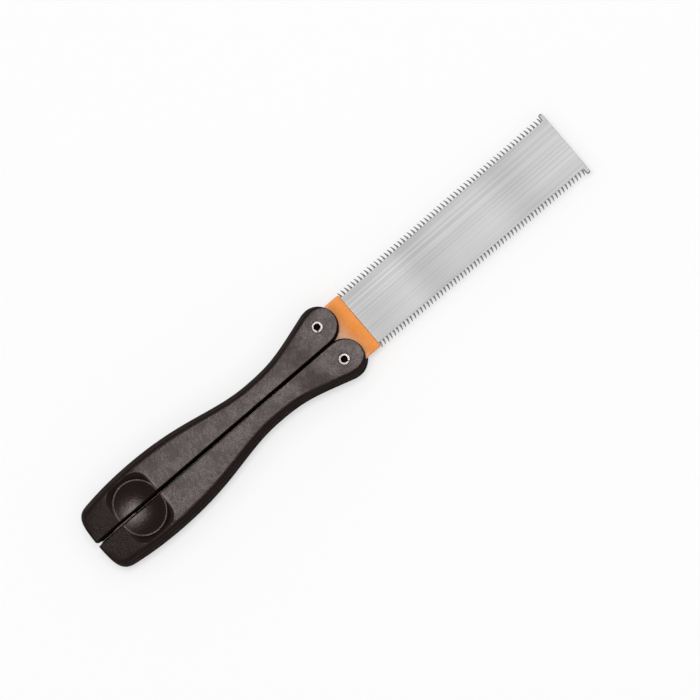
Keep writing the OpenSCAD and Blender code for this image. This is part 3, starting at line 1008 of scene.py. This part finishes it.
side_run = [(-s, w) for s, w, inner, land, share in stations]
slot_run = [(x, y) for x, y in side_run if x < -slot_from and y > web_at(-x) + slot_least_w]
slot_loop = with_outward([(side_run[0][0], web_at(handle_reach))] + slot_run)
slot_loop += [(-slot_from, outer_w(slot_from) + cutter_over, 0, 0), (-slot_from, web_at(slot_from), 0, 0)]
cut(half, plan_cutter("blade_slot", slot_loop, slot_half))

end_s = slot_from
while hypot(end_s, outer_w(end_s) - pivot_y) < turn_r:
    end_s += search_step
web_y = web_at(web_start)
fork_run = [(-web_start * (1 - i / fork_inner_steps), meet_gap) for i in range(fork_inner_steps)]
fork_run += arc(0, pivot_y, head_r, -90, 90, fork_head_steps)[:-1]
fork_run += [(-s, outer_w(s)) for s in [end_s * i / fork_side_steps for i in range(fork_side_steps + 1)]]
back_from = degrees(atan2(outer_w(end_s) - pivot_y, -end_s))
back_to = degrees(atan2(web_y - pivot_y, -sqrt(turn_r ** 2 - (pivot_y - web_y) ** 2))) + 360
fork_back = arc(0, pivot_y, turn_r, back_from, back_to, fork_back_steps)[1:] + [(-web_start, web_y)]
fork_loop = with_outward(fork_run[::-1]) + [(x, y, 0, 0) for x, y in fork_back[::-1]]
cut(half, plan_cutter("fork", fork_loop, fork_half))

bore_top = [(bore_r, half_t - bore_chamfer), (bore_r + bore_over, half_t + bore_over - bore_chamfer)]
cut(half, turned("ear_bore", 0, pivot_y, [(r, -z) for r, z in reversed(bore_top)] + bore_top))

# Dark glass-filled plastic. The mould's faces are polished a little, and its sides are left matt.
# Behind the heads, where the moulding is thick, the faces have sunk a little and come out duller.
handle_deep, handle_pale = (0.0075, 0.0040, 0.0032, 1), (0.0160, 0.0095, 0.0082, 1)
handle_worn, handle_worn_share = (0.05, 0.04, 0.037, 1), 0.35
handle_clouds, handle_specks = 0.65, 0.35
handle_ior, handle_sheen_tint = 1.53, (1.0, 0.87, 0.84, 1)
# The sides' copy of the finish reflects almost nothing: painted shade that keeps them dark.
face_specular, side_shade_specular, side_below = 0.33, 0.05, 0.8
handle_roughness = (0.34, 0.23)
matt_from, matt_to, matt_roughness = 0.7, 0.1, 0.6
dull_middle, dull_half, dull_fade, dull_roughness = -15.5, 3, 7, 0.09
handle_crease = 30


def moulded_finish(name, specular_level):
    finish, tree, shader = material(
        name, IOR=handle_ior, Specular_IOR_Level=specular_level, Specular_Tint=handle_sheen_tint
    )
    grain = fill_group(tree, moulded_grain, {
        "Cloud": 5 * mm, "Speck": 1.1 * mm, "Grain": 0.4 * mm, "Grain depth": 0.03 * mm,
    })
    wear_and_edge_shade = fill_group(tree, edge_wear_and_shade, {"Reach": 0.3 * mm, "Patch": 3 * mm})["Worn"]
    patchy = weighted(tree, (grain["Clouds"], handle_clouds), (grain["Specks"], handle_specks))
    tint = mix_colour(tree, patchy, handle_deep, handle_pale)
    wear_and_painted_sheen = calc(tree, "MULTIPLY", wear_and_edge_shade, handle_worn_share)
    along = axes_of(tree, coordinates(tree))["X"]
    upward = axes_of(tree, coordinates(tree, "Normal"))["Z"]
    from_dull = calc(tree, "ABSOLUTE", calc(tree, "SUBTRACT", along, pin_line.x + dull_middle * mm))
    dull = spread(tree, from_dull, dull_half * mm, (dull_half + dull_fade) * mm, dull_roughness, 0)
    rough = calc(tree, "ADD", spread(tree, patchy, 0, 1, *handle_roughness), dull)
    matt = spread(tree, calc(tree, "ABSOLUTE", upward), matt_from, matt_to, 0, matt_roughness)
    feed(
        tree, shader,
        Base_Color=mix_colour(tree, wear_and_painted_sheen, tint, handle_worn),
        Roughness=calc(tree, "ADD", rough, matt),
        Normal=bumped(tree, grain["Height"]),
    )
    return finish


# Faces that stand more upright take the copy that reflects almost nothing, as painted shade on the sides.
half.data.materials.append(moulded_finish("dark_handle_face", face_specular))
half.data.materials.append(moulded_finish("dark_handle_side_painted_shade", side_shade_specular))
for face in half.data.polygons:
    face.material_index = int(abs(face.normal.z) < side_below)
smooth_shaded(half.data, handle_crease)

other = new_object("lower_handle_half_visual", half.data.copy())
turn_over = Matrix.Translation(pin_line) @ Matrix.Rotation(pi, 4, "X") @ Matrix.Translation(-pin_line)
other.data.transform(turn_over)
for piece, side in ((half, "upper"), (other, "lower")):
    piece.modifiers.new("flat_faces", "WEIGHTED_NORMAL").keep_sharp = True
    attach(piece, side + "_half")
    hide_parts(side + "_handle_half")
